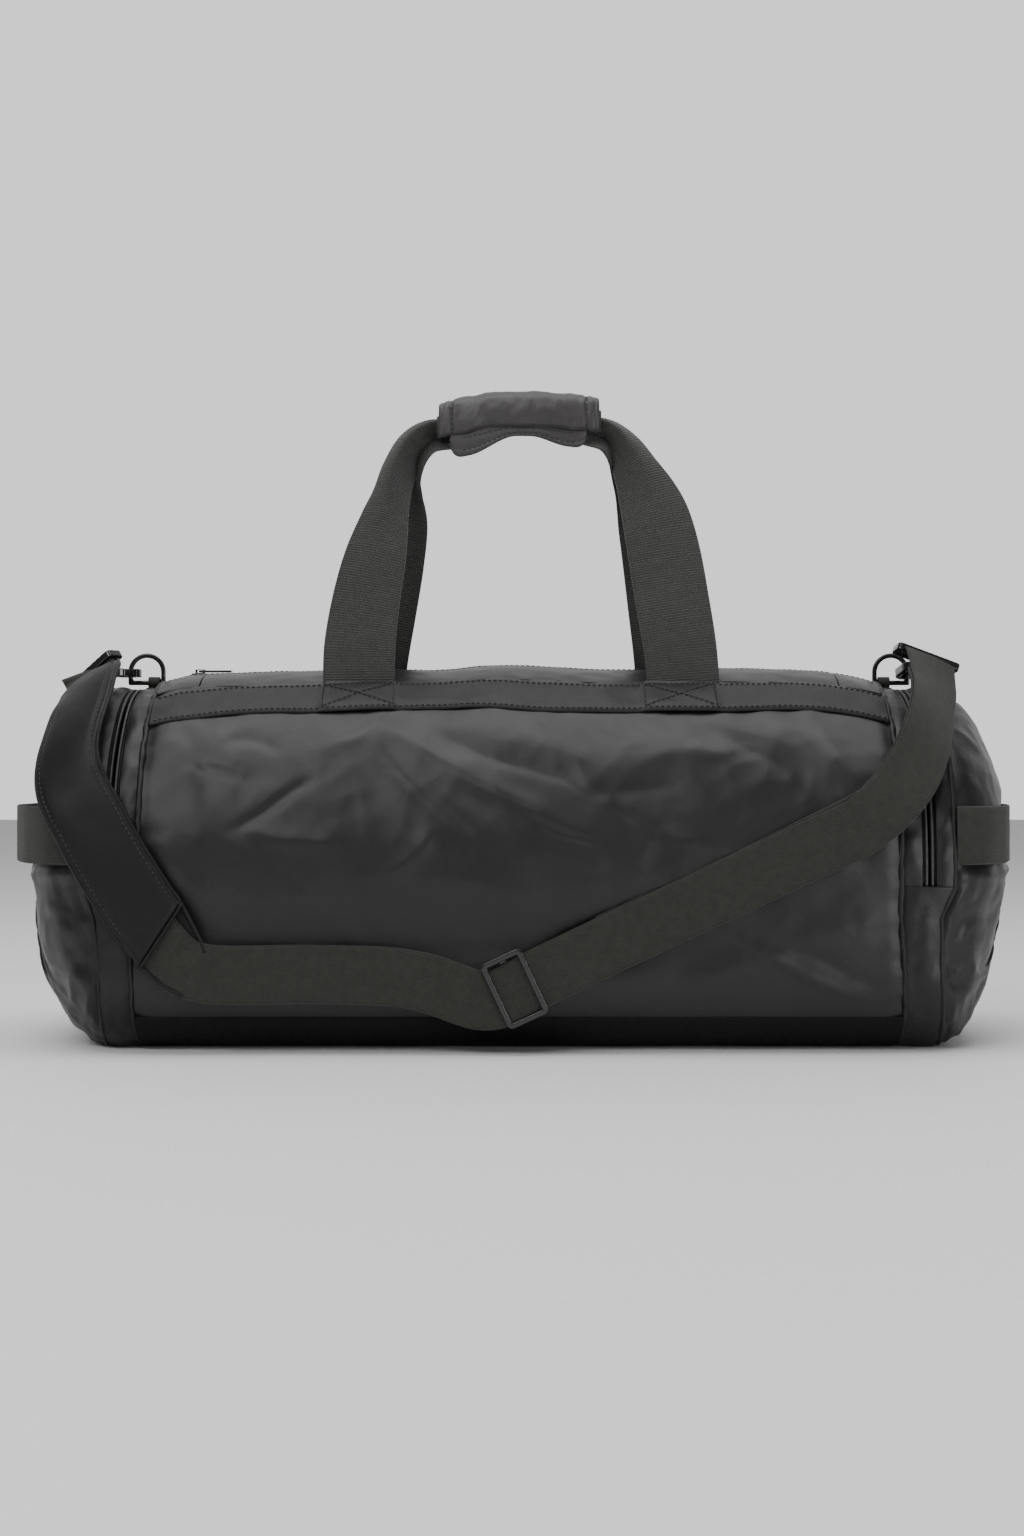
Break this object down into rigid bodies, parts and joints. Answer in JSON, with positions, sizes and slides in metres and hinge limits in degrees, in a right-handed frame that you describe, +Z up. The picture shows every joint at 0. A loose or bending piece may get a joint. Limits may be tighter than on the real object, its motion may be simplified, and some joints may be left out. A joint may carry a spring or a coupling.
{
  "type": "duffel bag",
  "caption": "Barrel duffel bag in black nylon with webbing handles, a padded handle wrap, zipped end pockets and a clip-on padded shoulder strap.",
  "frame": {"origin": "centre of the flat base, on the surface that the bag stands on", "axes": "+X along the bag, -Y to the front, where the shoulder strap hangs, +Z up"},
  "size_m": [0.7115, 0.2744, 0.4735],
  "materials": {
    "body_nylon": "smooth black nylon with a soft sheen",
    "base_cloth": "coarse black polyester canvas",
    "board": "stiff plastic base board",
    "lining": "plain thin lining cloth",
    "trim_cloth": "folded black nylon binding",
    "handle_webbing": "ribbed black webbing",
    "wrap_cloth": "padded dark grey-black nylon",
    "pad_cloth": "padded black nylon",
    "strap_webbing": "ribbed black webbing, slightly warm",
    "hardware_plastic": "glossy black moulded plastic",
    "zip_coil": "black nylon coil zip",
    "zip_metal": "black enamelled zip slider"
  },
  "bodies": {
    "bag": {"back_band": "trim_cloth", "back_handle_feet": "handle_webbing", "back_panel": "body_nylon", "base_board": "board", "base_panel": "base_cloth", "front_band": "trim_cloth", "front_handle_feet": "handle_webbing", "front_panel": "body_nylon", "left_end_pocket": "body_nylon", "left_end_upper": "body_nylon", "left_end_wall": "lining", "left_end_zip": "zip_coil", "left_grab_handle": "strap_webbing", "left_gusset_inner": "body_nylon", "left_gusset_lower": "body_nylon", "left_gusset_outer": "body_nylon", "left_piping": "trim_cloth", "left_ring_tab": "strap_webbing", "left_zip_tabs": "trim_cloth", "main_lining": "lining", "opening_end_zip": "zip_coil", "opening_ends": "body_nylon", "right_end_pocket": "body_nylon", "right_end_upper": "body_nylon", "right_end_wall": "lining", "right_end_zip": "zip_coil", "right_grab_handle": "strap_webbing", "right_gusset_inner": "body_nylon", "right_gusset_lower": "body_nylon", "right_gusset_outer": "body_nylon", "right_piping": "trim_cloth", "right_ring_tab": "strap_webbing", "right_zip_tabs": "trim_cloth"},
    "front_lip_body": {"front_lip": "body_nylon", "front_lip_zip": "zip_coil"},
    "back_lip_body": {"back_lip": "body_nylon", "back_lip_zip": "zip_coil"},
    "main_slider_body": {"main_zip_slider": "zip_metal"},
    "main_puller_body": {"main_zip_puller": "zip_metal"},
    "front_handle_body": {"front_handle": "handle_webbing", "handle_wrap": "wrap_cloth"},
    "wrap_flap_body": {"wrap_flap": "wrap_cloth"},
    "back_handle_body": {"back_handle": "handle_webbing"},
    "shoulder_strap_body": {"strap_pad": "pad_cloth", "strap_front": "strap_webbing", "strap_right_end": "strap_webbing", "strap_return": "strap_webbing", "left_strap_loop": "hardware_plastic", "right_strap_loop": "hardware_plastic"},
    "adjuster_body": {"strap_adjuster": "hardware_plastic"},
    "left_slider_body": {"left_end_slider": "zip_metal"},
    "left_puller_body": {"left_end_puller": "zip_metal"},
    "left_ring_body": {"left_ring": "hardware_plastic"},
    "left_hook_body": {"left_hook": "hardware_plastic"},
    "left_gate_body": {"left_hook_gate": "hardware_plastic"},
    "right_slider_body": {"right_end_slider": "zip_metal"},
    "right_puller_body": {"right_end_puller": "zip_metal"},
    "right_ring_body": {"right_ring": "hardware_plastic"},
    "right_hook_body": {"right_hook": "hardware_plastic"},
    "right_gate_body": {"right_hook_gate": "hardware_plastic"}
  },
  "joints": [
    {"name": "front_lip_fold", "type": "hinge", "parent": "bag", "child": "front_lip_body", "pos_m": [0, -0.0541, 0.2507], "axis": [-1, 0, 0], "range_deg": [0, 75]},
    {"name": "back_lip_fold", "type": "hinge", "parent": "bag", "child": "back_lip_body", "pos_m": [0, 0.0541, 0.2507], "axis": [1, 0, 0], "range_deg": [0, 75]},
    {"name": "main_slider_travel", "type": "slide", "parent": "bag", "child": "main_slider_body", "axis": [1, 0, 0], "range_m": [0, 0.468]},
    {"name": "main_puller_flip", "type": "hinge", "parent": "main_slider_body", "child": "main_puller_body", "pos_m": [-0.234, 0, 0.2649], "axis": [0, -1, 0], "range_deg": [0, 170]},
    {"name": "front_handle_fold", "type": "hinge", "parent": "bag", "child": "front_handle_body", "pos_m": [0, -0.05726, 0.25204], "axis": [1, 0, 0], "range_deg": [0, 90]},
    {"name": "back_handle_fold", "type": "hinge", "parent": "bag", "child": "back_handle_body", "pos_m": [0, 0.05726, 0.25204], "axis": [-1, 0, 0], "range_deg": [0, 90]},
    {"name": "wrap_flap_close", "type": "hinge", "parent": "front_handle_body", "child": "wrap_flap_body", "pos_m": [0, -0.01575, 0.4405], "axis": [1, 0, 0], "range_deg": [0, 90]},
    {"name": "strap_swing", "type": "hinge", "parent": "bag", "child": "shoulder_strap_body", "pos_m": [0, 0, 0.2565], "axis": [-1, 0, 0], "range_deg": [0, 50]},
    {"name": "adjuster_travel", "type": "slide", "parent": "shoulder_strap_body", "child": "adjuster_body", "axis": [0.9062, 0, 0.4228], "range_m": [0, 0.06]},
    {"name": "left_slider_travel", "type": "hinge", "parent": "bag", "child": "left_slider_body", "pos_m": [-0.279, 0, 0.125], "axis": [1, 0, 0], "range_deg": [0, 172]},
    {"name": "left_puller_lift", "type": "hinge", "parent": "left_slider_body", "child": "left_puller_body", "pos_m": [-0.279, 0.12837, 0.12769], "axis": [1, 0, 0], "range_deg": [0, 75]},
    {"name": "left_ring_swing", "type": "hinge", "parent": "bag", "child": "left_ring_body", "pos_m": [-0.273, 0, 0.2565], "axis": [-1, 0, 0], "range_deg": [0, 50]},
    {"name": "left_hook_swivel", "type": "hinge", "parent": "shoulder_strap_body", "child": "left_hook_body", "pos_m": [-0.285, 0, 0.2635], "axis": [-0.5524, -0.8336, 0], "range_deg": [-12, 12]},
    {"name": "left_gate_press", "type": "hinge", "parent": "left_hook_body", "child": "left_gate_body", "pos_m": [-0.28725, -0.01698, 0.2635], "axis": [0, 0, 1], "range_deg": [0, 18], "stiffness_Nm_per_rad": 0.01, "springref_deg": -5.73},
    {"name": "right_slider_travel", "type": "hinge", "parent": "bag", "child": "right_slider_body", "pos_m": [0.279, 0, 0.125], "axis": [1, 0, 0], "range_deg": [0, 172]},
    {"name": "right_puller_lift", "type": "hinge", "parent": "right_slider_body", "child": "right_puller_body", "pos_m": [0.279, 0.12837, 0.12769], "axis": [1, 0, 0], "range_deg": [0, 75]},
    {"name": "right_ring_swing", "type": "hinge", "parent": "bag", "child": "right_ring_body", "pos_m": [0.273, 0, 0.2565], "axis": [-1, 0, 0], "range_deg": [0, 50]},
    {"name": "right_hook_swivel", "type": "hinge", "parent": "shoulder_strap_body", "child": "right_hook_body", "pos_m": [0.285, 0, 0.2635], "axis": [0.2, -0.95, 0.24], "range_deg": [-12, 12]},
    {"name": "right_gate_press", "type": "hinge", "parent": "right_hook_body", "child": "right_gate_body", "pos_m": [0.29542, -0.01308, 0.2672], "axis": [-0.0494, 0.2348, 0.9708], "range_deg": [0, 18], "stiffness_Nm_per_rad": 0.01, "springref_deg": -5.73}
  ],
  "couplings": [
    {"joint": "left_ring_swing", "follows": "strap_swing", "ratio": 1},
    {"joint": "right_ring_swing", "follows": "strap_swing", "ratio": 1}
  ]
}
